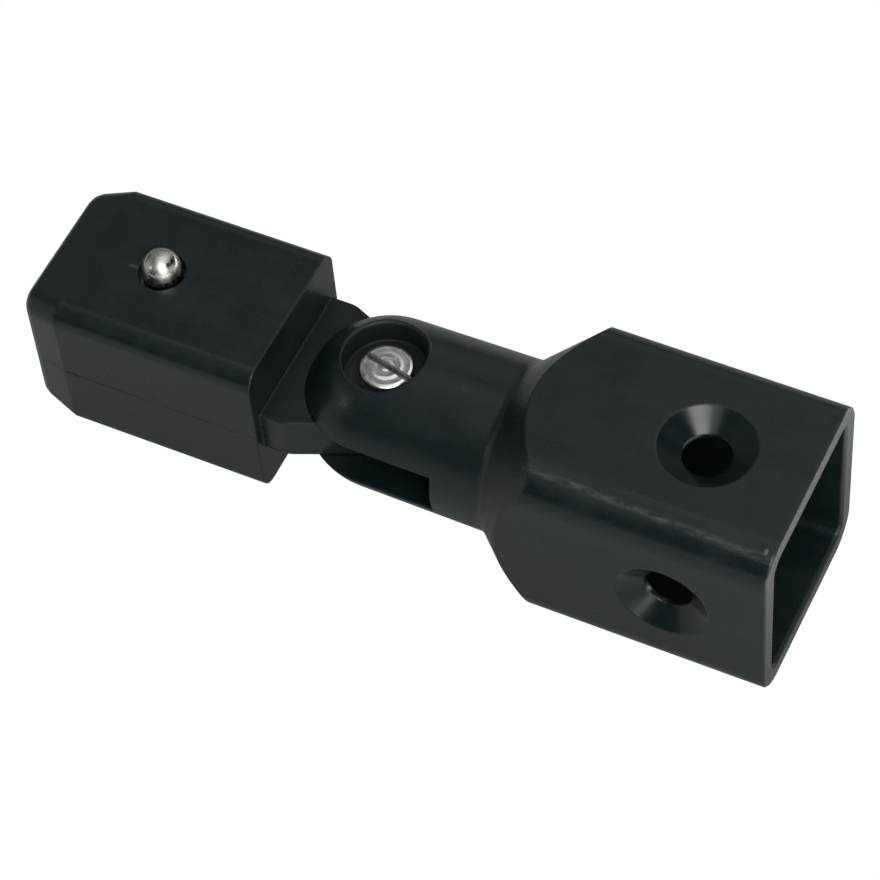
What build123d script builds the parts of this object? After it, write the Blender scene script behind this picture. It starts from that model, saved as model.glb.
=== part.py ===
from build123d import *
from math import atan, cos, degrees, radians, sin, tan
import os

# Pivot joint for square profiles, in millimetres.
# Frame: the origin is the centre of the socket's mouth, on the profile's axis. +X points out of the mouth,
# +Z is up through the hinge screw, and the plug reaches back along -X.

# ---- Square socket -------------------------------------------------------------------------------
profile_width = 20.0          # square tube or bar that the socket takes
profile_clearance = 0.1       # room on each side of that profile
socket_wall = 2.4
socket_corner_radius = 4.0    # outside, along the four long edges
socket_depth = 26.0           # mouth to the step that the profile's end stops on
mouth_edge_chamfer = 0.2      # outer edge of the mouth
mouth_lead_in = 0.3           # chamfer inside the mouth

# ---- Countersunk screw holes in the socket's top and near walls -----------------------------------
screw_hole_radius = 2.75
screw_hole_inset = 11.9       # mouth to hole centre
sink_radius = 5.45            # rim of the countersink
sink_land = 0.6               # straight wall left under the countersink

# ---- Neck, ball nose and fork ---------------------------------------------------------------------
pivot_reach = 50.0            # mouth to pivot axis
neck_radius = 9.8
neck_flare = 0.2              # how much wider the neck is where the shoulder starts
shoulder_start = 15.5         # pivot axis to the foot of the cone
shoulder_angle = 42.5         # slope of the cone that cuts the socket's corners back to the neck
shoulder_blend = 1.6          # radius where the cone runs into the neck
ear_web = 2.2                 # fork ear's thickness under the screw head, and over the washer
recess_radius = 4.9           # round pockets for the screw head and for the nut
slot_side_clearance = 0.15    # above and below the tongue
slot_end_clearance = 0.5      # slot's closed end to the tongue's flank when it is folded square

# ---- Plug and tongue ------------------------------------------------------------------------------
tube_bore = 21.0              # inside width of the tube that the plug goes into
plug_clearance = 0.3          # room on each side of the plug
plug_length = 29.55
plug_edge_radius = 2.3
lead_in_length = 5.0          # pyramid taper on the free end
lead_in_depth = 1.35          # what the taper takes off each side
plug_tip_round = 1.4          # round the free end's face
tip_round_flats = 3           # that round is drawn in this many flats, which keeps it light
plug_nose_gap = 1.85          # ball nose to the plug's end face
tongue_thickness = 5.7
tongue_root_width = 18.0
tongue_root_length = 3.1      # straight stretch next to the plug
tongue_eye_radius = 5.0
tongue_shoulder_radius = 3.0  # where the straight stretch meets the taper

# ---- Hinge screw, washer and nut ------------------------------------------------------------------
screw_radius = 1.5
screw_length = 14.0           # under the head
screw_head_radius = 3.2
screw_head_height = 1.8
screw_head_chamfer = 0.35
driver_slot_width = 0.85
driver_slot_depth = 0.9
driver_slot_angle = -12.5     # turned from +X
screw_tip_chamfer = 0.3
pivot_running_clearance = 0.05
ear_hole_clearance = 0.1
washer_radius = 3.5
washer_thickness = 0.5
washer_hole_clearance = 0.1
nut_width = 5.5               # across flats
nut_height = 2.4
nut_thread_clearance = 0.03
nut_chamfer_angle = 30.0

# ---- Spring button --------------------------------------------------------------------------------
button_inset = 13.65          # free end of the plug to the button's axis
button_radius = 2.25
button_hole_clearance = 0.45
button_travel = 2.85          # stands this far out of the plug, and pushes in level with it
button_roof = 1.8             # plug wall over the button's flange
flange_radius = 3.4
flange_thickness = 1.2
flange_clearance = 0.1
spigot_radius = 1.8           # on the flange and on the cap, inside the coils
spigot_length = 2.0
cap_thickness = 2.5
cap_chamfer = 0.3
spring_wire_radius = 0.25
spring_coil_radius = 2.5      # axis of the wire
spring_turns = 5
wire_sides = 5                # the wire's section is a polygon, which keeps the long thin coil light

# ---- Working values -------------------------------------------------------------------------------
cut_margin = 1.0              # how far a cutting shape runs past what it cuts

# ---- Sizes that follow from the ones above --------------------------------------------------------
socket_bore = profile_width + 2 * profile_clearance
socket_width = socket_bore + 2 * socket_wall
socket_half = socket_width / 2
bore_corner_radius = socket_corner_radius - socket_wall
screw_hole_x = -screw_hole_inset
sink_depth = socket_wall - sink_land
sink_angle = 2 * degrees(atan((sink_radius - screw_hole_radius) / sink_depth))

pivot_x = -pivot_reach
shoulder_x = pivot_x + shoulder_start
neck_foot_radius = neck_radius + neck_flare
slot_half = tongue_thickness / 2 + slot_side_clearance
slot_end_x = pivot_x + tongue_root_width / 2 + slot_end_clearance
recess_floor = slot_half + ear_web

plug_width = tube_bore - 2 * plug_clearance
plug_half = plug_width / 2
plug_face_x = pivot_x - neck_radius - plug_nose_gap
plug_tip_x = plug_face_x - plug_length
tongue_half = tongue_root_width / 2
tongue_bore_radius = screw_radius + pivot_running_clearance

button_x = plug_tip_x + button_inset
button_hole_radius = button_radius + button_hole_clearance
pocket_radius = flange_radius + flange_clearance
flange_top = plug_half - button_roof
flange_bottom = flange_top - flange_thickness
dome_centre_z = plug_half + button_travel - button_radius
cap_top = -plug_half + cap_thickness

os.makedirs("parts", exist_ok=True)
pivot = Plane((pivot_x, 0, 0))


def across(x):
    """Plane square to the profile's axis at x, with its own X along +Y and its own Y along +Z."""
    return Plane((x, 0, 0), x_dir=(0, 1, 0), z_dir=(1, 0, 0))


# ---- socket_fork: one moulding, from the square mouth to the two ears of the fork -----------------
corner_reach = socket_width        # past the section's corners, so the cone alone trims them
with BuildPart() as socket_fork:
    with BuildSketch(across(shoulder_x)):
        RectangleRounded(socket_width, socket_width, socket_corner_radius)
    extrude(amount=-shoulder_x)
    # The cone cuts the four corners back to the round neck.
    with BuildSketch(Plane.XZ):
        with BuildLine():
            cone_end_x = shoulder_x + (corner_reach - neck_foot_radius) / tan(radians(shoulder_angle))
            past_mouth_x = max(cone_end_x, 0) + cut_margin
            Polyline(
                (shoulder_x, 0),
                (shoulder_x, neck_foot_radius),
                (cone_end_x, corner_reach),
                (past_mouth_x, corner_reach),
                (past_mouth_x, 0),
                close=True,
            )
        make_face()
    revolve(axis=Axis.X, mode=Mode.INTERSECT)
    chamfer(socket_fork.faces().sort_by(Axis.X)[-1].edges(), length=mouth_edge_chamfer)
    # Round neck with a ball nose about the pivot, run into the cone with a hollow round.
    with BuildSketch(Plane.XZ) as neck_outline:
        with BuildLine():
            CenterArc((pivot_x, 0), neck_radius, 90, 90)
            blend_rise = shoulder_blend * tan(radians(shoulder_angle))
            Polyline(
                (pivot_x, neck_radius),
                (shoulder_x, neck_foot_radius),
                (shoulder_x + shoulder_blend, neck_foot_radius + blend_rise),
                (shoulder_x + shoulder_blend, 0),
                (pivot_x - neck_radius, 0),
            )
        make_face()
        neck_foot = neck_outline.vertices().sort_by_distance((shoulder_x, neck_foot_radius))[0]
        fillet(neck_foot, radius=shoulder_blend)
    revolve(axis=Axis.X)
    # Square bore for the profile.
    with BuildSketch(across(-socket_depth)):
        RectangleRounded(socket_bore, socket_bore, bore_corner_radius)
    extrude(amount=socket_depth, mode=Mode.SUBTRACT)
    mouth_inner = socket_fork.faces().sort_by(Axis.X)[-1].inner_wires()[0].edges()
    chamfer(mouth_inner, length=mouth_lead_in)
    # Fork slot, open to the nose and to both sides.
    slot_length = slot_end_x - (pivot_x - neck_radius)
    with Locations((slot_end_x - slot_length / 2, 0, 0)):
        Box(slot_length, 2 * neck_foot_radius, 2 * slot_half, mode=Mode.SUBTRACT)
    # Round pockets for the screw head above and for the nut below, and the screw's hole through both ears.
    for side in (1, -1):
        with BuildSketch(pivot.offset(side * recess_floor)):
            Circle(recess_radius)
        extrude(amount=side * neck_radius, mode=Mode.SUBTRACT)
    with Locations((pivot_x, 0, 0)):
        Cylinder(screw_radius + ear_hole_clearance, 2 * neck_radius, mode=Mode.SUBTRACT)
    # Countersunk holes through the top wall and through the near wall.
    top_hole = Plane((screw_hole_x, 0, socket_half), z_dir=(0, 0, 1))
    near_hole = Plane((screw_hole_x, -socket_half, 0), x_dir=(1, 0, 0), z_dir=(0, -1, 0))
    with Locations(top_hole, near_hole):
        CounterSinkHole(screw_hole_radius, sink_radius, depth=socket_wall, counter_sink_angle=sink_angle)
socket_fork.part.label = "socket_fork"
export_step(socket_fork.part, "parts/socket_fork.step")

# ---- tongue_plug: one moulding, a square plug and the flat tongue that the fork takes --------------
with BuildPart() as tongue_plug:
    lead_in_x = plug_tip_x + lead_in_length
    tip_width = plug_width - 2 * lead_in_depth
    # Sections follow the round on the tip in a few flats, then the taper out to the full width.
    for step in range(tip_round_flats + 1):
        turn = radians(90 * (1 - step / tip_round_flats))
        set_back = plug_tip_round * (1 - sin(turn))
        drop = plug_tip_round * (1 - cos(turn))
        section_width = tip_width + 2 * (lead_in_depth * set_back / lead_in_length - drop)
        with BuildSketch(across(plug_tip_x + set_back)):
            RectangleRounded(section_width, section_width, plug_edge_radius - drop)
    with BuildSketch(across(lead_in_x)):
        RectangleRounded(plug_width, plug_width, plug_edge_radius)
    loft(ruled=True)
    extrude(tongue_plug.faces().sort_by(Axis.X)[-1], amount=plug_face_x - lead_in_x)
    # The tongue's flanks run straight from the plug, then taper to meet the round eye.
    root_end = plug_face_x + tongue_root_length - pivot_x
    corner_distance = (root_end**2 + tongue_half**2) ** 0.5
    corner_angle = degrees(atan(tongue_half / -root_end))
    tangent_angle = 180 - corner_angle - degrees(atan((corner_distance**2 - tongue_eye_radius**2) ** 0.5
                                                      / tongue_eye_radius))
    tangent_x = tongue_eye_radius * cos(radians(tangent_angle))
    tangent_y = tongue_eye_radius * sin(radians(tangent_angle))
    with BuildSketch(pivot.offset(-tongue_thickness / 2)) as tongue_outline:
        with BuildLine():
            CenterArc((0, 0), tongue_eye_radius, -tangent_angle, 2 * tangent_angle)
            Polyline(
                (tangent_x, tangent_y),
                (root_end, tongue_half),
                (plug_face_x - pivot_x, tongue_half),
                (plug_face_x - pivot_x, -tongue_half),
                (root_end, -tongue_half),
                (tangent_x, -tangent_y),
            )
        make_face()
        fillet(tongue_outline.vertices().group_by(Axis.X)[1], radius=tongue_shoulder_radius)
    extrude(amount=tongue_thickness)
    with Locations((pivot_x, 0, 0)):
        Cylinder(tongue_bore_radius, tongue_thickness + cut_margin, mode=Mode.SUBTRACT)
    # Pocket for the spring from below, and the button's smaller hole through the roof.
    with BuildSketch(Plane((button_x, 0, -plug_half))):
        Circle(pocket_radius)
    extrude(amount=plug_half + flange_top, mode=Mode.SUBTRACT)
    with BuildSketch(Plane((button_x, 0, flange_top))):
        Circle(button_hole_radius)
    extrude(amount=button_roof, mode=Mode.SUBTRACT)
tongue_plug.part.label = "tongue_plug"
export_step(tongue_plug.part, "parts/tongue_plug.step")

# ---- pivot_screw: slotted pan head on a plain shank that is the hinge pin ---------------------------
with BuildPart() as pivot_screw:
    head_top = recess_floor + screw_head_height
    screw_tip = recess_floor - screw_length
    with BuildSketch(Plane((pivot_x, 0, recess_floor))):
        Circle(screw_head_radius)
    extrude(amount=screw_head_height)
    chamfer(pivot_screw.edges().group_by(Axis.Z)[-1], length=screw_head_chamfer)
    with BuildSketch(Plane((pivot_x, 0, screw_tip))):
        Circle(screw_radius)
    extrude(amount=screw_length)
    chamfer(pivot_screw.edges().group_by(Axis.Z)[0], length=screw_tip_chamfer)
    with BuildSketch(Plane((pivot_x, 0, head_top))):
        Rectangle(2 * screw_head_radius + cut_margin, driver_slot_width, rotation=driver_slot_angle)
    extrude(amount=-driver_slot_depth, mode=Mode.SUBTRACT)
pivot_screw.part.label = "pivot_screw"
export_step(pivot_screw.part, "parts/pivot_screw.step")

# ---- nut_washer: plain washer against the lower ear --------------------------------------------------
washer_face = -recess_floor - washer_thickness
with BuildPart() as nut_washer:
    with BuildSketch(Plane((pivot_x, 0, washer_face))):
        Circle(washer_radius)
        Circle(screw_radius + washer_hole_clearance, mode=Mode.SUBTRACT)
    extrude(amount=washer_thickness)
nut_washer.part.label = "nut_washer"
export_step(nut_washer.part, "parts/nut_washer.step")

# ---- pivot_nut: hexagon nut with its corners chamfered on the outer face ----------------------------
with BuildPart() as pivot_nut:
    with BuildSketch(Plane((pivot_x, 0, washer_face - nut_height))):
        RegularPolygon(nut_width / 2, 6, major_radius=False)
    extrude(amount=nut_height)
    corner_radius = nut_width / 2 / cos(radians(30))
    corner_drop = (corner_radius - nut_width / 2) * tan(radians(nut_chamfer_angle))
    with BuildSketch(Plane((pivot_x, 0, 0), x_dir=(1, 0, 0), z_dir=(0, -1, 0))):
        with BuildLine():
            Polyline(
                (0, washer_face - nut_height),
                (nut_width / 2, washer_face - nut_height),
                (corner_radius, washer_face - nut_height + corner_drop),
                (corner_radius, washer_face),
                (0, washer_face),
                close=True,
            )
        make_face()
    revolve(axis=Axis((pivot_x, 0, 0), (0, 0, 1)), mode=Mode.INTERSECT)
    with Locations((pivot_x, 0, washer_face - nut_height / 2)):
        Cylinder(screw_radius + nut_thread_clearance, nut_height + cut_margin, mode=Mode.SUBTRACT)
pivot_nut.part.label = "pivot_nut"
export_step(pivot_nut.part, "parts/pivot_nut.step")

# ---- detent_pin: domed button, with a flange that stops under the plug's roof ------------------------
with BuildPart() as detent_pin:
    with BuildSketch(Plane((button_x, 0, 0), x_dir=(1, 0, 0), z_dir=(0, -1, 0))):
        with BuildLine():
            CenterArc((0, dome_centre_z), button_radius, 0, 90)
            Polyline(
                (button_radius, dome_centre_z),
                (button_radius, flange_top),
                (flange_radius, flange_top),
                (flange_radius, flange_bottom),
                (spigot_radius, flange_bottom),
                (spigot_radius, flange_bottom - spigot_length),
                (0, flange_bottom - spigot_length),
                (0, dome_centre_z + button_radius),
            )
        make_face()
    revolve(axis=Axis((button_x, 0, 0), (0, 0, 1)))
detent_pin.part.label = "detent_pin"
export_step(detent_pin.part, "parts/detent_pin.step")

# ---- spring_cap: disc pressed into the pocket's mouth, level with the plug's underside ---------------
with BuildPart() as spring_cap:
    with BuildSketch(Plane((button_x, 0, -plug_half))):
        Circle(pocket_radius)
    extrude(amount=cap_thickness)
    chamfer(spring_cap.edges().group_by(Axis.Z)[0], length=cap_chamfer)
    with BuildSketch(Plane((button_x, 0, cap_top))):
        Circle(spigot_radius)
    extrude(amount=spigot_length)
spring_cap.part.label = "spring_cap"
export_step(spring_cap.part, "parts/spring_cap.step")

# ---- detent_spring: coil between the cap and the button's flange --------------------------------------
with BuildPart() as detent_spring:
    coil_height = flange_bottom - cap_top - 2 * spring_wire_radius
    coil_foot = (button_x, 0, cap_top + spring_wire_radius)
    with BuildLine():
        coil = Helix(coil_height / spring_turns, coil_height, spring_coil_radius, center=coil_foot)
    with BuildSketch(Plane(origin=coil @ 0, z_dir=coil % 0)):
        RegularPolygon(spring_wire_radius, wire_sides)
    sweep(path=coil, is_frenet=True)
detent_spring.part.label = "detent_spring"
export_step(detent_spring.part, "parts/detent_spring.step")
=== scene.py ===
# %% [markdown]
# # A pivot joint for square tube
# This lesson dresses a finished engineering model so that it looks like the moulded product.
# The joint has two black nylon mouldings. A square socket ends in a round fork, and a square plug ends in a
# flat tongue. A slotted screw through the fork is the hinge, and a small sprung steel button stands on the
# plug. The solids come from the engineering model and are never moved or reshaped here. Everything below is
# about what those solids lack: camera, light, surface finish and the smallest details.

# %% Load the solids
import math

import bmesh
import bpy
from mathutils import Matrix, Vector, noise
from mathutils.bvhtree import BVHTree


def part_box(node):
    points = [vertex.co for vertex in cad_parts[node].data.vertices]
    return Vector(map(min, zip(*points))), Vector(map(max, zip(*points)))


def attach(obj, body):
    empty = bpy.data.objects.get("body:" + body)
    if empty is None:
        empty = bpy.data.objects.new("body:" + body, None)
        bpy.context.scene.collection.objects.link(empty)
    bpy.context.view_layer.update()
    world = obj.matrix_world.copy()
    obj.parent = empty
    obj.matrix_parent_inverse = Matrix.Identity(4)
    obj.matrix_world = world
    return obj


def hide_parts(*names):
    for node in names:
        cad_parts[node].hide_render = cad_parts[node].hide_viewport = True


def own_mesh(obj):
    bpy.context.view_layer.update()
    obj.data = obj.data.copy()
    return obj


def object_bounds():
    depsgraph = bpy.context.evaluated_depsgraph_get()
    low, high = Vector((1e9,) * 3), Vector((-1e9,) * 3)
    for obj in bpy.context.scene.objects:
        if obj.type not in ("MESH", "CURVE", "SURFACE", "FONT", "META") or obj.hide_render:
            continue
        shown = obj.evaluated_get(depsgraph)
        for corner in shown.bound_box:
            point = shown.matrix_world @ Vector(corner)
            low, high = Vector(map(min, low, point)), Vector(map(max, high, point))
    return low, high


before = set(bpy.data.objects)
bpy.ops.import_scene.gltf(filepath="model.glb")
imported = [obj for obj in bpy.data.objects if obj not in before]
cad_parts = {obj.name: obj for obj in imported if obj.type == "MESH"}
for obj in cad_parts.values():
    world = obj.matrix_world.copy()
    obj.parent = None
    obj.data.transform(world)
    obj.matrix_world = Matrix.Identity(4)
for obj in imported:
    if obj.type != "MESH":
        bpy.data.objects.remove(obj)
solid_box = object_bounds()
MM = 0.001
print("box in mm:", [[round(v / MM, 2) for v in corner] for corner in solid_box])

# %% [markdown]
# ## Camera
# A product close-up is taken from some way off with a long lens, which keeps the long edges almost parallel.
# A camera could be aimed with a Track To constraint, but a constraint can't give the slight roll of a camera
# held by hand. Writing its three axes as the columns of a matrix states place, aim and roll in one step.

# %% Put up the camera
camera_place = Vector((0.07279, -0.20168, 0.31487))
camera_right = Vector((0.90154, 0.42855, -0.0597)).normalized()
camera_up = Vector((-0.3154, 0.74534, 0.58736)).normalized()
camera_back = camera_right.cross(camera_up).normalized()
camera_up = camera_back.cross(camera_right)


def put_in_scene(name, data):
    """Make an object of a camera, a lamp or a mesh, and link it to the scene."""
    item = bpy.data.objects.new(name, data)
    bpy.context.scene.collection.objects.link(item)
    return item


camera = put_in_scene("camera", bpy.data.cameras.new("camera"))
camera_turn = Matrix((camera_right, camera_up, camera_back)).transposed()
camera.matrix_world = Matrix.Translation(camera_place) @ camera_turn.to_4x4()
camera.data.sensor_width = 36.0
camera.data.lens = 144.58
camera.data.clip_start = 0.01
camera.data.clip_end = 20.0
bpy.context.scene.camera = camera
print("camera looks along", [round(v, 3) for v in -camera_back])

# %% [markdown]
# ## Small helpers for node trees
# A finish is a small network of nodes, and each node takes several lines of Python. A few helpers shorten
# that. The first two do the work: one gives a node's sockets their values, or wires them up when a value is
# another node's output, and one adds a node and fills it in. The rest are the nodes used most, and each hands
# back the output that the next node needs. The nodes could be wired by hand in the editor, but a script can
# be read.

# %% Helpers for nodes
def fill(node, sockets):
    """Give a node's sockets their values, or wire them to another node's output."""
    tree = node.id_data
    for name, value in sockets.items():
        if isinstance(value, bpy.types.NodeSocket):
            tree.links.new(value, node.inputs[name])
        else:
            node.inputs[name].default_value = value
    return node


def add(tree, kind, settings=None, **sockets):
    """Add one node, with its own settings, and fill in its sockets."""
    node = tree.nodes.new("ShaderNode" + kind)
    for name, value in (settings or {}).items():
        setattr(node, name, value)
    return fill(node, {name.replace("_", " "): value for name, value in sockets.items()})


def maths(tree, operation, *numbers):
    """A Math node for one to three numbers or wires."""
    return fill(add(tree, "Math", {"operation": operation}), dict(enumerate(numbers))).outputs[0]


def vector_maths(tree, operation, *vectors):
    """A Vector Math node for one or two vectors. A length or a dot product comes out as a number."""
    node = fill(add(tree, "VectorMath", {"operation": operation}), dict(enumerate(vectors)))
    return node.outputs["Value" if operation in ("LENGTH", "DOT_PRODUCT") else "Vector"]


def rescale(tree, value, low, high, to_low=0.0, to_high=1.0, ease="LINEAR"):
    """Map low..high on to to_low..to_high, clamped at both ends."""
    node = add(tree, "MapRange", {"interpolation_type": ease}, Value=value)
    fill(node, {"From Min": low, "From Max": high, "To Min": to_low, "To Max": to_high})
    return node.outputs[0]


def blend_colours(tree, share, first, second):
    """Mix two colours by a share from 0 to 1."""
    return fill(add(tree, "Mix", {"data_type": "RGBA"}), {0: share, 6: first, 7: second}).outputs[2]


def blend_shaders(tree, share, first, second):
    """Mix two shaders by a share from 0 to 1."""
    return fill(add(tree, "MixShader"), {0: share, 1: first, 2: second}).outputs[0]


def new_finish(name):
    """A material with an empty node tree."""
    finish = bpy.data.materials.new(name)
    finish.use_nodes = True
    finish.node_tree.nodes.clear()
    return finish, finish.node_tree


# %% [markdown]
# ## Floor
# The joint lies on a sheet of white paper, and black plastic mirrors the paper more than anything else. The
# camera should see it pure white, while the part should see real paper: dull where the part shades it, and
# bright at the far right, where daylight falls on it. A glowing sheet gives the first and a matt sheet the
# shade of the second, and the brightness at the far right is a painted glow added to the matt paper, so the
# finish asks which ray is looking. From below it is clear, and a hole a little smaller than the part lets
# some light reach the underside, so that side can be looked at too.

# %% Lay the white sheet
sheet_half = 3.0
sheet_gap = 0.05 * MM
hole_margin = 1.0 * MM
sheet_z = solid_box[0].z - sheet_gap
paper_white = 0.54
# Painted light: the sheet glows more and more towards +X, standing for daylight on the paper.
daylight_start = 2 * MM
daylight_end = 40 * MM
daylight_glow = 2.6
pure_white = (1, 1, 1, 1)


def make_sheet_finish():
    """White to the camera, matt paper with a painted daylight glow to other rays, and clear from below."""
    finish, tree = new_finish("white_sheet")
    along = add(tree, "SeparateXYZ", Vector=add(tree, "TexCoord").outputs["Object"]).outputs["X"]
    daylight = rescale(tree, along, daylight_start, daylight_end, 0.0, daylight_glow, "SMOOTHSTEP")
    matt = add(tree, "BsdfDiffuse", Color=(paper_white, paper_white, paper_white, 1)).outputs[0]
    glow = add(tree, "Emission", Color=pure_white, Strength=daylight).outputs[0]
    lit = fill(add(tree, "AddShader"), {0: matt, 1: glow}).outputs[0]
    white = add(tree, "Emission", Color=pure_white, Strength=1.0).outputs[0]
    seen = blend_shaders(tree, add(tree, "LightPath").outputs["Is Camera Ray"], lit, white)
    clear = add(tree, "BsdfTransparent").outputs[0]
    whole = blend_shaders(tree, add(tree, "NewGeometry").outputs["Backfacing"], seen, clear)
    add(tree, "OutputMaterial", Surface=whole)
    return finish


def oblong(low, high):
    """The four corners of an oblong on the sheet, going round."""
    corners = ((low[0], low[1]), (high[0], low[1]), (high[0], high[1]), (low[0], high[1]))
    return [(x, y, sheet_z) for x, y in corners]


hole_low = (solid_box[0].x + hole_margin, solid_box[0].y + hole_margin)
hole_high = (solid_box[1].x - hole_margin, -solid_box[0].y - hole_margin)
sheet_mesh = bpy.data.meshes.new("white_sheet")
sheet_points = oblong((-sheet_half, -sheet_half), (sheet_half, sheet_half)) + oblong(hole_low, hole_high)
sheet_mesh.from_pydata(sheet_points, [], [(k, (k + 1) % 4, (k + 1) % 4 + 4, k + 4) for k in range(4)])
sheet_mesh.materials.append(make_sheet_finish())
sheet = put_in_scene("white_sheet", sheet_mesh)
print("sheet lies at z =", round(sheet_z / MM, 3), "mm")

# %% [markdown]
# ## Room
# The rest of what the plastic mirrors is the room. It could be walls and furniture, which take long to tune,
# or a ready-made panorama, which ties the look to one place. Here the sky holds a few soft panes of light,
# each given by where it hangs: a bearing from +X, a height above the sheet, and a brightness. The strongest
# hangs low on the right in front, like a window, and the rest is the glow of a ceiling, lighter at the back.

# %% Hang soft panes in the sky
pane_spread = math.radians(32)
soft_panes = {
    "overhead": (0, 90, 0.55),
    "window": (315, 30, 2.2),
    "window_top": (300, 60, 1.5),
    "bright_ceiling": (60, 60, 0.77),
    "back_wall": (90, 30, 0.42),
    "back_left_wall": (135, 30, 0.23),
    "left_wall": (180, 30, 0.14),
    "front_left_wall": (225, 30, 0.11),
    "left_skirting": (205, 4, 0.36),
    "right_skirting": (0, 4, 0.57),
}
from_below = 0.22
below_starts, below_full = 0.05, 0.25
room_tint = (0.95, 1.0, 1.01, 1)

world = bpy.data.worlds.new("room")
bpy.context.scene.world = world
world.use_nodes = True
room = world.node_tree
room.nodes.clear()
way = add(room, "TexCoord").outputs["Generated"]


def facing(direction):
    """How far a ray looks towards a direction, from -1 to 1."""
    return vector_maths(room, "DOT_PRODUCT", way, Vector(direction).normalized())


def soft_pane(bearing, height, brightness):
    """A round glow in the sky that fades out at the pane's spread."""
    bearing, height = math.radians(bearing), math.radians(height)
    flat = math.cos(height)
    towards = (flat * math.cos(bearing), flat * math.sin(bearing), math.sin(height))
    return rescale(room, facing(towards), math.cos(pane_spread), 1.0, 0.0, brightness, "SMOOTHSTEP")


level = rescale(room, facing((0, 0, -1)), below_starts, below_full, 0.0, from_below, "SMOOTHSTEP")
for pane in soft_panes.values():
    level = maths(room, "ADD", level, soft_pane(*pane))
room_glow = add(room, "Background", Color=room_tint, Strength=level).outputs[0]
backdrop = add(room, "Background", Color=pure_white, Strength=1.0).outputs[0]
sky = blend_shaders(room, add(room, "LightPath").outputs["Is Camera Ray"], room_glow, backdrop)
add(room, "OutputWorld", Surface=sky)
bpy.context.scene.view_settings.view_transform = "Standard"
print("soft panes:", ", ".join(soft_panes))

# %% [markdown]
# ## Lamps
# The steel shows sharper lights than the plastic does. They could be small bright spots in the sky, but
# Cycles finds a lamp at once and has to hunt for a spot, so lamps give less noise. Each is placed by the
# direction from which the part sees it, and its width and height decide how sharp its highlight is.

# %% Hang the lamps
lamp_distance = 0.8
part_middle = (solid_box[0] + solid_box[1]) / 2


def hang_lamp(name, towards, width, height, power):
    """Hang an oblong soft light in a direction from the part, facing it."""
    light = bpy.data.lights.new(name, "AREA")
    light.shape = "RECTANGLE"
    light.size = width
    light.size_y = height
    light.energy = power
    towards = Vector(towards).normalized()
    lamp = put_in_scene(name, light)
    lamp.location = part_middle + towards * lamp_distance
    lamp.rotation_mode = "QUATERNION"
    lamp.rotation_quaternion = towards.to_track_quat("Z", "Y")
    print(name, "hangs at", [round(v, 2) for v in lamp.location])


hang_lamp("main_lamp", (0.42, -0.42, 0.80), 0.40, 0.24, 1.20)
hang_lamp("low_left_lamp", (-0.66, -0.60, 0.45), 0.10, 0.12, 0.115)
hang_lamp("ceiling_strip", (-0.3, 0.30, 0.91), 0.50, 0.05, 0.12)

# %% [markdown]
# ## Black nylon
# Both mouldings are glass-filled nylon: a blue-black plastic with a satin skin, a fine grain from the mould,
# and faint streaks where it flowed. An image of plastic would repeat and blur in a close-up. Noise in the
# part's own space does neither, and it stays put when the joint moves. Three noises share the work, by size:
# the grain lifts the skin and breaks up highlights, the mottle changes the gloss, and the streaks change the
# tone. The Bevel node rounds the shading at every sharp edge, as a mould does, without touching the solid.

# %% Small tools for finishes
def grain_noise(tree, place, size, detail=3.0, roughness=0.6):
    """Noise whose lumps are about this many millimetres across."""
    scale = 1.0 / (size * MM)
    return add(tree, "TexNoise", Vector=place, Scale=scale, Detail=detail, Roughness=roughness).outputs["Fac"]


def band(tree, value, middle, half_width):
    """1 at the middle of a band, easing to 0 at its edges."""
    away = maths(tree, "ABSOLUTE", maths(tree, "SUBTRACT", value, middle))
    return rescale(tree, away, 0.0, half_width, 1.0, 0.0, "SMOOTHSTEP")


# %% [markdown]
# ## Scuffs and painted highlights on the nylon
# The joint has been handled, and its pale marks are partly wear and partly painted highlight. The long edge
# of the socket that lies in front is rubbed, and a broken line of pale specks paints both the rub and the
# highlight that runs along that edge. One small pale spot by the mouth paints a knock together with its
# glint, and a short pale streak beside the button paints a scratch together with its glint. Such marks could
# be painted on by hand in a texture. Rules are shorter and stay sharp in a close-up: a narrow band along the
# edge broken up by noise, and two soft spots, both of them stretched.

# %% Scuffs and painted highlights
socket_low, socket_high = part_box("socket_fork")
plug_low, plug_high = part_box("tongue_plug")
button_low, button_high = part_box("detent_pin")
socket_half = socket_high.z
# Pale specks along the socket's front top edge: partly rub wear, partly a painted highlight line.
rub_highlight_line = socket_low.y + 2.25 * MM
rub_highlight_drift = 0.028
rub_highlight_middle_x = -14 * MM
rub_highlight_half_width = 0.6 * MM
rub_highlight_floor = socket_half - 1.1 * MM
rub_highlight_fade = 0.2 * MM
speck_size = 0.6
speck_stretch = (0.35, 1.0, 1.0)
speck_low, speck_high, speck_strength = 0.38, 0.70, 0.50
# A pale spot by the mouth and a pale streak by the button: a knock and a scratch, each with a painted glint.
knock_glint_place = (socket_high.x - 1.1 * MM, socket_low.y + 2.5 * MM, socket_half - 0.12 * MM)
knock_glint_size = 0.55 * MM
knock_glint_stretch = (1.8, 1.0, 1.0)
scratch_glint_place = ((button_low.x + button_high.x) / 2 - 3.3 * MM, -0.6 * MM, plug_high.z)
scratch_glint_length = 0.9 * MM
scratch_glint_stretch = (1.0, 3.0, 1.0)
scratch_glint_strength = 0.35
spot_core = 0.3


def spot(tree, place, centre, size, stretch):
    """1 inside a small stretched spot, easing to 0 at its size."""
    away = vector_maths(tree, "MULTIPLY", vector_maths(tree, "SUBTRACT", place, centre), stretch)
    return rescale(tree, vector_maths(tree, "LENGTH", away), spot_core * size, size, 1.0, 0.0, "SMOOTHSTEP")


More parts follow.
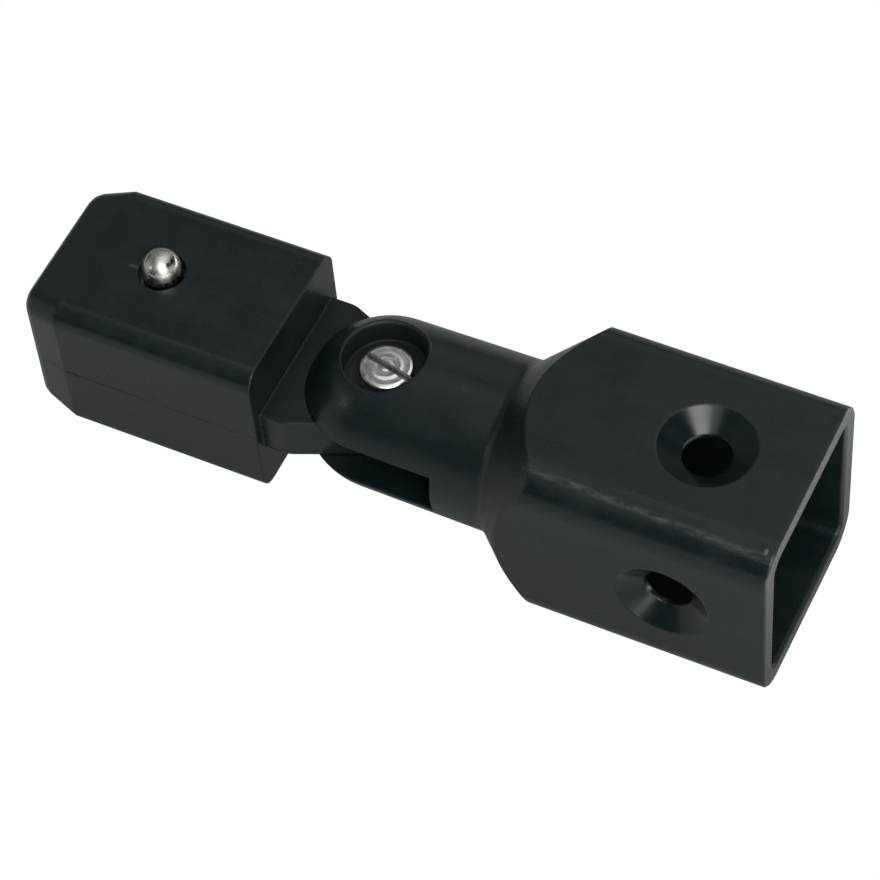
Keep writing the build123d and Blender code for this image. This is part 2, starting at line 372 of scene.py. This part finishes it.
def scuffs_and_glints(tree, place):
    """Where the skin is pale from wear and from painted highlights and glints, from 0 to 1."""
    axes = add(tree, "SeparateXYZ", Vector=place)
    along = maths(tree, "SUBTRACT", axes.outputs["X"], rub_highlight_middle_x)
    across = maths(tree, "MULTIPLY_ADD", along, rub_highlight_drift, axes.outputs["Y"])
    line = band(tree, across, rub_highlight_line, rub_highlight_half_width)
    on_top = rescale(tree, axes.outputs["Z"], rub_highlight_floor, rub_highlight_floor + rub_highlight_fade)
    smeared = add(tree, "Mapping", Vector=place, Scale=speck_stretch).outputs[0]
    speck_noise = grain_noise(tree, smeared, speck_size, 3.0, 0.65)
    specks = rescale(tree, speck_noise, speck_low, speck_high, 0.0, speck_strength)
    rub_and_highlight = maths(tree, "MULTIPLY", maths(tree, "MULTIPLY", line, on_top), specks)
    knock_glint = spot(tree, place, knock_glint_place, knock_glint_size, knock_glint_stretch)
    scratch_glint = spot(tree, place, scratch_glint_place, scratch_glint_length, scratch_glint_stretch)
    scratch_glint = maths(tree, "MULTIPLY", scratch_glint, scratch_glint_strength)
    return maths(tree, "MAXIMUM", rub_and_highlight, maths(tree, "MAXIMUM", knock_glint, scratch_glint))


print("rubbed edge at y =", round(rub_highlight_line / MM, 2), "mm, knock at", [round(v / MM, 1) for v in knock_glint_place])

# %% [markdown]
# ## Places with their own gloss
# Pins in the mould form the two screw sinks and the screw's pocket. The sinks' pins are polished, so their
# cones are glossier than the skin. The pocket's pin is rough, and its walls are dull. The sinks could have a
# finish of their own, given face by face, but then the grain would break at their rims. A rule for each hole
# is better: inside a circle round its axis and between two depths below the surface.

# %% Find the holes
sink_x = -11.9 * MM
sink_rim = 5.4 * MM
sink_floor = 2.4 * MM
pocket_x = -50.0 * MM
pocket_rim = 4.95 * MM
face_margin = 0.04 * MM


def in_hole(tree, away, flatten, radius, depth, deepest):
    """1 inside a round hole, seen along its axis, and between its mouth and its deepest point."""
    from_axis = vector_maths(tree, "LENGTH", vector_maths(tree, "MULTIPLY", away, flatten))
    inside = maths(tree, "LESS_THAN", from_axis, radius)
    below = maths(tree, "GREATER_THAN", depth, face_margin)
    above = maths(tree, "LESS_THAN", depth, deepest)
    return maths(tree, "MULTIPLY", inside, maths(tree, "MULTIPLY", below, above))


def sinks_and_pocket(tree, place):
    """Where the skin is one of the socket's two screw sinks, and where it is the screw's pocket: 0 or 1."""
    axes = add(tree, "SeparateXYZ", Vector=place)
    from_sink = vector_maths(tree, "SUBTRACT", place, (sink_x, 0, 0))
    top_depth = maths(tree, "SUBTRACT", socket_half, axes.outputs["Z"])
    near_depth = maths(tree, "ADD", socket_half, axes.outputs["Y"])
    top = in_hole(tree, from_sink, (1, 1, 0), sink_rim, top_depth, sink_floor)
    near = in_hole(tree, from_sink, (1, 0, 1), sink_rim, near_depth, sink_floor)
    from_pocket = vector_maths(tree, "SUBTRACT", place, (pocket_x, 0, 0))
    pocket = in_hole(tree, from_pocket, (1, 1, 0), pocket_rim, top_depth, socket_half)
    return maths(tree, "MAXIMUM", top, near), pocket


print("sinks at x =", round(sink_x / MM, 1), "mm, pocket at x =", round(pocket_x / MM, 1), "mm")

# %% [markdown]
# ## Mixing the nylon
# The noises, the scuffs with their painted highlights, and the holes now come together in one plastic.
# Several shaders could be mixed by masks, one for each kind of place. It is simpler to let every place change
# the same three things, which are the colour, the roughness and the relief of one Principled shader, and the
# renders stay quick.

# %% Black nylon
grain_size = 0.26
mottle_size = 5.0
mottle_share = 2.0
streak_stretch = (60.0, 420.0, 420.0)
skin_relief, relief_strength = 0.02 * MM, 0.25
tone_range = (0.7, 1.3)
gloss_range = (0.75, 1.25)
edge_softness = 0.40 * MM
dark_nylon = (0.0038, 0.0088, 0.0105, 1)
pale_nylon = (0.0070, 0.0130, 0.0150, 1)
rub_and_glint_colour = (0.12, 0.13, 0.13, 1)
skin_gloss = (0.25, 0.37)
sink_gloss = 0.20
pocket_gloss = 0.52


def make_nylon():
    """Blue-black plastic with grain, streaks, wear and painted highlights, and its own gloss in each hole."""
    finish, tree = new_finish("black_nylon")
    place = add(tree, "TexCoord").outputs["Object"]
    grain = grain_noise(tree, place, grain_size)
    mottle = grain_noise(tree, place, mottle_size, 4.0)
    stretched = add(tree, "Mapping", Vector=place, Scale=streak_stretch).outputs[0]
    streaks = add(tree, "TexNoise", Vector=stretched, Scale=1.0, Detail=2.0, Distortion=0.6).outputs["Fac"]
    edge = add(tree, "Bevel", {"samples": 6}, Radius=edge_softness).outputs[0]
    height = maths(tree, "MULTIPLY_ADD", mottle, mottle_share, grain)
    relief = add(tree, "Bump", Height=height, Normal=edge, Strength=relief_strength, Distance=skin_relief)
    tone = rescale(tree, maths(tree, "ADD", mottle, streaks), *tone_range)
    unmarked = blend_colours(tree, tone, dark_nylon, pale_nylon)
    # Pale marks lighten the colour here: wear mixed with painted highlights and glints.
    colour = blend_colours(tree, scuffs_and_glints(tree, place), unmarked, rub_and_glint_colour)
    gloss = rescale(tree, maths(tree, "ADD", mottle, grain), *gloss_range, *skin_gloss)
    for hole, hole_gloss in zip(sinks_and_pocket(tree, place), (sink_gloss, pocket_gloss)):
        gloss = maths(tree, "MULTIPLY_ADD", hole, maths(tree, "SUBTRACT", hole_gloss, gloss), gloss)
    skin = add(tree, "BsdfPrincipled", Base_Color=colour, Normal=relief.outputs[0], Roughness=gloss)
    add(tree, "OutputMaterial", Surface=skin.outputs[0])
    return finish


black_nylon = make_nylon()
print("black nylon:", len(black_nylon.node_tree.nodes), "nodes")

# %% [markdown]
# ## Steels
# Three steels are used. The screw, nut and washer are zinc plated, a pale grey with a soft bloom. The button
# is turned and polished like a ball, with faint marks of wear. The spring is drawn wire, darker. They differ
# in colour, gloss and the kind of mark, so one recipe makes all three: a metal, fine marks that lift the
# skin, and a slow noise that dulls the gloss in patches as handling does. Shade is painted into slots and
# corners by darkening the colour there. The Ambient Occlusion node finds those places by itself, where
# painting them by hand would take one mask each.

# %% Steels
bloom_size = 1.1
bloom_range = (0.35, 0.65)
dull_range = (0.7, 1.3)
# Painted shade: how far the Ambient Occlusion node looks, the dark colour, and where shade starts and ends.
painted_shade_reach = 0.9 * MM
painted_shade_colour = (0.13, 0.135, 0.125, 1)
shaded_below, unshaded_above = 0.30, 0.70


def make_steel(name, dark, light, gloss, mark_size, mark_height):
    """A metal whose colour and gloss wander between two values, with fine marks and painted shade in corners.
    """
    finish, tree = new_finish(name)
    place = add(tree, "TexCoord").outputs["Object"]
    marks = grain_noise(tree, place, mark_size, 4.0, 0.7)
    bloom = grain_noise(tree, place, bloom_size)
    bump = add(tree, "Bump", Height=marks, Strength=1.0, Distance=mark_height * MM).outputs[0]
    bright = blend_colours(tree, rescale(tree, bloom, *bloom_range), (*dark, 1), (*light, 1))
    # Painted shade: the colour darkens where the steel is hemmed in by nearby surfaces.
    openness = add(tree, "AmbientOcclusion", {"samples": 8}, Distance=painted_shade_reach).outputs["AO"]
    unmarked = rescale(tree, openness, shaded_below, unshaded_above, 0.0, 1.0, "SMOOTHSTEP")
    colour = blend_colours(tree, unmarked, painted_shade_colour, bright)
    dull = rescale(tree, maths(tree, "ADD", bloom, marks), *dull_range, *gloss)
    metal = add(tree, "BsdfPrincipled", Base_Color=colour, Normal=bump, Roughness=dull, Metallic=1.0)
    add(tree, "OutputMaterial", Surface=metal.outputs[0])
    return finish


# Each steel: its darkest and lightest colour, least and most roughness, and the marks' size and height in mm.
steels = {
    "zinc_steel": ((0.86, 0.87, 0.83), (1.0, 1.0, 0.96), (0.16, 0.28), 0.12, 0.002),
    "polished_steel": ((0.58, 0.565, 0.51), (0.72, 0.70, 0.64), (0.10, 0.50), 0.20, 0.0008),
    "spring_steel": ((0.34, 0.34, 0.35), (0.46, 0.46, 0.47), (0.26, 0.38), 0.08, 0.002),
}
finishes = {"black_nylon": black_nylon}
for steel_name, recipe in steels.items():
    finishes[steel_name] = make_steel(steel_name, *recipe)
finish_of = {
    "socket_fork": "black_nylon",
    "tongue_plug": "black_nylon",
    "spring_cap": "black_nylon",
    "pivot_screw": "zinc_steel",
    "nut_washer": "zinc_steel",
    "pivot_nut": "zinc_steel",
    "detent_pin": "polished_steel",
    "detent_spring": "spring_steel",
}
for node_name, finish_name in finish_of.items():
    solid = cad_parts[node_name]
    solid.data.materials.clear()
    solid.data.materials.append(finishes[finish_name])
print("finishes:", ", ".join(sorted(set(finish_of.values()))))

# %% [markdown]
# ## Small tools for shapes
# The screw, the spring, the lip and the parting line are all made in one way: rings of points are laid one
# after another along a path, and neighbours are joined with faces. A bevelled curve could make a plain wire,
# but here the section changes along the path by a rule, which is easier to state ring by ring.

# %% Tools for shapes
sharp_angle = math.radians(35)


def round_ring(shape, centre, out, radius, sides):
    """A ring of points about a centre, standing in the upright plane that holds the direction out."""
    ring = []
    for k in range(sides):
        angle = math.tau * k / sides
        around = out * math.cos(angle) + Vector((0, 0, math.sin(angle)))
        ring.append(shape.verts.new(centre + radius * around))
    return ring


def join_rings(shape, first, second):
    """Join two rings of points with a band of faces."""
    for k in range(len(first)):
        after = (k + 1) % len(first)
        shape.faces.new((first[k], first[after], second[after], second[k]))


def take_mesh(shape, name):
    """Turn a finished shape into a mesh."""
    mesh = bpy.data.meshes.new(name)
    shape.to_mesh(mesh)
    shape.free()
    return mesh


# %% [markdown]
# ## Hinge screw
# The model's screw is a plain pin with a slotted head. The real one is turned on a lathe, which leaves fine
# rings on the head and a rolled thread at the tip. Sculpting or a bump map could hint at them, but both are
# round forms worked out by a rule, so the screw is built as a lathe would: rings of points stacked along the
# axis, where the radius depends on the height, and in the thread on the angle too. A Boolean then cuts the
# slot.

# %% Measure the hinge screw
screw_low, screw_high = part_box("pivot_screw")
screw_axis = ((screw_low.x + screw_high.x) / 2, (screw_low.y + screw_high.y) / 2)
head_radius = (screw_high.x - screw_low.x) / 2
head_height = 1.8 * MM
head_round = 0.50 * MM
head_chamfer = 0.1 * MM
head_crown = 0.10 * MM
face_radius = head_radius - head_round
face_rows = 60
groove_height = 0.003 * MM
fine_groove, coarse_groove, coarse_share = 0.08 * MM, 0.19 * MM, 6.0
under_head = screw_high.z - head_height
shank_radius = 1.5 * MM
thread_pitch = 0.5 * MM
thread_depth = 0.27 * MM
thread_flank = 2.6
rows_per_pitch = 10
thread_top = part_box("nut_washer")[1].z
tip_chamfer = 0.3 * MM
slot_width, slot_depth, slot_turn = 0.85 * MM, 0.9 * MM, math.radians(-12.5)
turn_steps = 96
print("screw head:", round(2 * head_radius / MM, 2), "mm wide")
print("thread:", round((thread_top - screw_low.z) / MM, 2), "mm long")


# %% [markdown]
# ## The screw's profile
# A turned part is given by its radius at each height. The profile could be drawn as a curve and spun with a
# Screw modifier, but a thread isn't round, so a ring of the thread keeps a radius of its own at every angle.
# The head's rings have one radius each, and two sine waves, a fine and a coarse one, stand for the marks that
# the lathe's tool leaves on its face.

# %% Shape the hinge screw
def thread_radius(height, angle):
    """The radius of a V thread, which climbs one pitch in each turn."""
    phase = (height / thread_pitch + angle / math.tau) % 1.0
    ridge = min(1.0, thread_flank * abs(phase - 0.5))
    near_tip = max(0.0, tip_chamfer - (height - screw_low.z))
    return shank_radius - max(thread_depth * (1.0 - ridge), near_tip)


def screw_rings():
    """The rings of the screw from the tip up to the middle of the head: height, and radius by angle."""
    rings = []
    thread_rows = round((thread_top - screw_low.z) / (thread_pitch / rows_per_pitch))
    for row in range(thread_rows):
        height = screw_low.z + (thread_top - screw_low.z) * row / thread_rows
        rings.append((height, [thread_radius(height, math.tau * k / turn_steps) for k in range(turn_steps)]))
    profile = [(thread_top, shank_radius), (under_head, shank_radius),
               (under_head, head_radius - head_chamfer), (under_head + head_chamfer, head_radius)]
    for degrees in range(0, 91, 15):
        turn = math.radians(degrees)
        profile.append((screw_high.z - head_crown - head_round * (1 - math.sin(turn)),
                        head_radius - head_round * (1 - math.cos(turn))))
    for step in range(1, face_rows):
        radius = face_radius * (1 - step / face_rows)
        crown = head_crown * (1 - (radius / face_radius) ** 2)
        ripple = math.sin(radius / fine_groove) + coarse_share * math.sin(radius / coarse_groove)
        profile.append((screw_high.z - head_crown + crown + groove_height * ripple, radius))
    return rings + [(height, [radius] * turn_steps) for height, radius in profile]


def stack_rings(name, rings, centre):
    """Join stacked rings of points with faces and close both ends."""
    shape = bmesh.new()
    rows = []
    for height, radii in rings:
        row = []
        for k, radius in enumerate(radii):
            angle = math.tau * k / turn_steps
            row.append(shape.verts.new((centre[0] + radius * math.cos(angle),
                                        centre[1] + radius * math.sin(angle), height)))
        rows.append(row)
    for lower, upper in zip(rows, rows[1:]):
        join_rings(shape, lower, upper)
    shape.faces.new(list(reversed(rows[0])))
    shape.faces.new(rows[-1])
    return take_mesh(shape, name)


def cut_with(piece, cutter):
    """Cut a shape out of a piece for good, and throw the cutter away."""
    cut = piece.modifiers.new("cut", "BOOLEAN")
    cut.object = cutter
    cut.operation = "DIFFERENCE"
    cut.solver = "EXACT"
    bpy.context.view_layer.update()
    result = bpy.data.meshes.new_from_object(piece.evaluated_get(bpy.context.evaluated_depsgraph_get()))
    piece.modifiers.clear()
    piece.data = result
    bpy.data.objects.remove(cutter)


# %% [markdown]
# ## The screw's slot
# A saw cuts the driver slot across the finished head, and the screw then stops wherever it is tight, so the
# slot stands a little askew. The slot could be modelled face by face, but every ring of the head would have
# to be split by hand. A Boolean with a plain box does what the saw does.

# %% Turn the hinge screw and cut its slot
turned_screw = put_in_scene("turned_screw", stack_rings("turned_screw", screw_rings(), screw_axis))

slot_shape = bmesh.new()
bmesh.ops.create_cube(slot_shape, size=1.0)
slot_place = Matrix.Translation((*screw_axis, screw_high.z)) @ Matrix.Rotation(slot_turn, 4, "Z")
slot_size = Matrix.Diagonal((4 * head_radius, slot_width, 2 * slot_depth, 1))
bmesh.ops.transform(slot_shape, matrix=slot_place @ slot_size, verts=slot_shape.verts)
cut_with(turned_screw, put_in_scene("slot_cutter", take_mesh(slot_shape, "slot_cutter")))
turned_screw.data.materials.clear()
turned_screw.data.materials.append(finishes["zinc_steel"])
turned_screw.data.shade_smooth()
turned_screw.data.set_sharp_from_angle(angle=sharp_angle)
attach(turned_screw, "socket")
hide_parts("pivot_screw")
print("turned screw:", len(turned_screw.data.polygons), "faces")

# %% [markdown]
# ## Coil spring
# The button stands on a coil of drawn wire inside the plug, wound tight at both ends so that it stands
# square. The model's spring is a plain helix of five-sided wire, and it stays long when the button goes in. A
# Screw modifier could wind one, but with one pitch all along. Here the height of the wire is worked out turn
# by turn, close at the ends and open between, and a round is laid at each step. The model's wire has a flat
# below, so this spring starts lower by the depth of that flat.

# %% Wind the spring
spring_low, spring_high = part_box("detent_spring")
spring_axis = ((spring_low.x + spring_high.x) / 2, (spring_low.y + spring_high.y) / 2)
wire_flat = 0.04 * MM
spring_foot = spring_low.z - wire_flat
spring_length = spring_high.z - spring_foot
wire_radius = 0.25 * MM
coil_radius = 2.5 * MM
spring_turns = 6.5
steps_per_turn = 40
wire_sides = 12
spring_climb = spring_length - 2 * wire_radius
tight_climb = 2.1 * wire_radius


def wire_height(turn):
    """The height of the wire's middle after so many turns: tight in the first and last turn."""
    if turn < 1:
        rise = tight_climb * turn
    elif turn > spring_turns - 1:
        rise = spring_climb - tight_climb * (spring_turns - turn)
    else:
        rise = tight_climb + (spring_climb - 2 * tight_climb) * (turn - 1) / (spring_turns - 2)
    return spring_foot + wire_radius + rise


def make_spring():
    """Sweep a round along the coil and close both ends."""
    shape = bmesh.new()
    rows = []
    for step in range(round(spring_turns * steps_per_turn) + 1):
        angle = math.tau * step / steps_per_turn
        out = Vector((math.cos(angle), math.sin(angle), 0))
        centre = Vector((*spring_axis, wire_height(step / steps_per_turn))) + out * coil_radius
        rows.append(round_ring(shape, centre, out, wire_radius, wire_sides))
    for here, after in zip(rows, rows[1:]):
        join_rings(shape, here, after)
    shape.faces.new(rows[0])
    shape.faces.new(rows[-1])
    bmesh.ops.recalc_face_normals(shape, faces=shape.faces)
    return take_mesh(shape, "coil_spring")


coil_spring = put_in_scene("coil_spring", make_spring())
coil_spring.data.shade_smooth()
coil_spring.data.set_sharp_from_angle(angle=sharp_angle)
coil_spring.data.materials.append(finishes["spring_steel"])
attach(coil_spring, "plug")
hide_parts("detent_spring")
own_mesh(coil_spring)

# %% [markdown]
# ## Lip round the screw's pocket
# The pocket for the screw head is cut into a round neck. At its rim the mould leaves a low soft lip, heavier
# on the far side, which catches the light as a thin arc. A bevel on the solid would need its mesh changed, so
# the lip is a bead of its own. Its path is where a round pocket meets a round neck with a ball end, which a
# formula gives exactly: along the neck only the sideways distance counts, and on the ball the distance all
# round.

# %% Lay the lip
pocket_radius = 4.9 * MM
neck_radius = 9.8 * MM
lip_radius = 0.34 * MM
lip_sink = 0.10 * MM
lip_steps = 144
lip_sides = 10
heavy_side = math.radians(105)
thin_share, swelling = 0.15, 0.85


def lip_height(along, across):
    """The height of the neck's skin at a point of the rim, seen from above."""
    away = across if along > 0 else math.hypot(along, across)
    return math.sqrt(neck_radius**2 - away**2)


def make_lip():
    """Sweep a bead round the rim, thick on its heavy side and thin opposite."""
    shape = bmesh.new()
    rows = []
    for step in range(lip_steps):
        angle = math.tau * step / lip_steps
        out = Vector((math.cos(angle), math.sin(angle), 0))
        rim = out * (pocket_radius + lip_sink)
        centre = Vector((*screw_axis, 0)) + rim + Vector((0, 0, lip_height(rim.x, rim.y) - lip_sink))
        heavy = max(0.0, math.cos(0.5 * (angle - heavy_side))) ** 2
        rows.append(round_ring(shape, centre, out, lip_radius * (thin_share + swelling * heavy), lip_sides))
    for here, after in zip(rows, rows[1:] + rows[:1]):
        join_rings(shape, here, after)
    bmesh.ops.recalc_face_normals(shape, faces=shape.faces)
    return take_mesh(shape, "pocket_lip")


pocket_lip = put_in_scene("pocket_lip", make_lip())
pocket_lip.data.shade_smooth()
pocket_lip.data.materials.append(finishes["black_nylon"])
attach(pocket_lip, "socket")
print("pocket lip:", len(pocket_lip.data.polygons), "faces")

# %% [markdown]
# ## Parting line
# A mould opens in two halves, and where they meet the plastic is squeezed into a hair-thin raised line. On
# the plug it runs just below the middle of its sides and round its tip, and it is heavier in one short dash
# near the tip. A bump map could draw it, but a real ridge catches the light from every side. Its route isn't
# typed in: rays cast at the solid from all round find the skin, and a low ridge of three points is laid on
# each hit, with its height wandering a little.

# %% Lay the parting line
plug_end_x = -61.65 * MM
end_margin = 0.02 * MM
line_z = -0.2 * MM
line_half_width = 0.07 * MM
line_height = 0.035 * MM
line_root = 0.02 * MM
flash_x = -84.6 * MM
flash_reach = 1.8 * MM
flash_growth = 2.2
line_steps = 420
line_start, line_sweep = math.radians(30), math.radians(300)
wander_middle, wander_swing, wander_least = 0.6, 0.8, 0.25
wander_size = 2.5 * MM


def lay_line():
    """Build the ridge round the plug from its end face on one side to its end face on the other."""
    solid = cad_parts["tongue_plug"]
    skin = BVHTree.FromObject(solid, bpy.context.evaluated_depsgraph_get())
    middle = Vector(((plug_low.x + plug_end_x) / 2, 0, line_z))
    reach = plug_end_x - plug_low.x
    shape = bmesh.new()
    before = None
    length = 0.0
    for step in range(line_steps + 1):
        angle = line_start + line_sweep * step / line_steps
        outward = Vector((math.cos(angle), math.sin(angle), 0))
        hit, normal, _, _ = skin.ray_cast(middle + outward * reach * 2, -outward)
        if hit is None or hit.x > plug_end_x - end_margin:
            continue
        wander = wander_middle + wander_swing * noise.noise(hit / wander_size)
        flash = max(0.0, 1 - ((hit.x - flash_x) / flash_reach) ** 2) if hit.y < 0 else 0.0
        growth = 1 + flash_growth * flash
        rise = Vector((0, 0, line_half_width * growth))
        crest = hit + normal * line_height * max(wander, wander_least) * growth
        root = hit - normal * line_root
        here = [shape.verts.new(point) for point in (root - rise, crest, root + rise)]
        if before:
            join_rings(shape, before[0], here)
            length += (hit - before[1]).length
        else:
            shape.faces.new(here)
        before = (here, hit)
    shape.faces.new(before[0])
    bmesh.ops.recalc_face_normals(shape, faces=shape.faces)
    return take_mesh(shape, "parting_line"), length


line_mesh, line_length = lay_line()
parting_line = put_in_scene("parting_line", line_mesh)
parting_line.data.materials.append(finishes["black_nylon"])
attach(parting_line, "plug")
print("parting line:", round(line_length / MM, 1), "mm long")
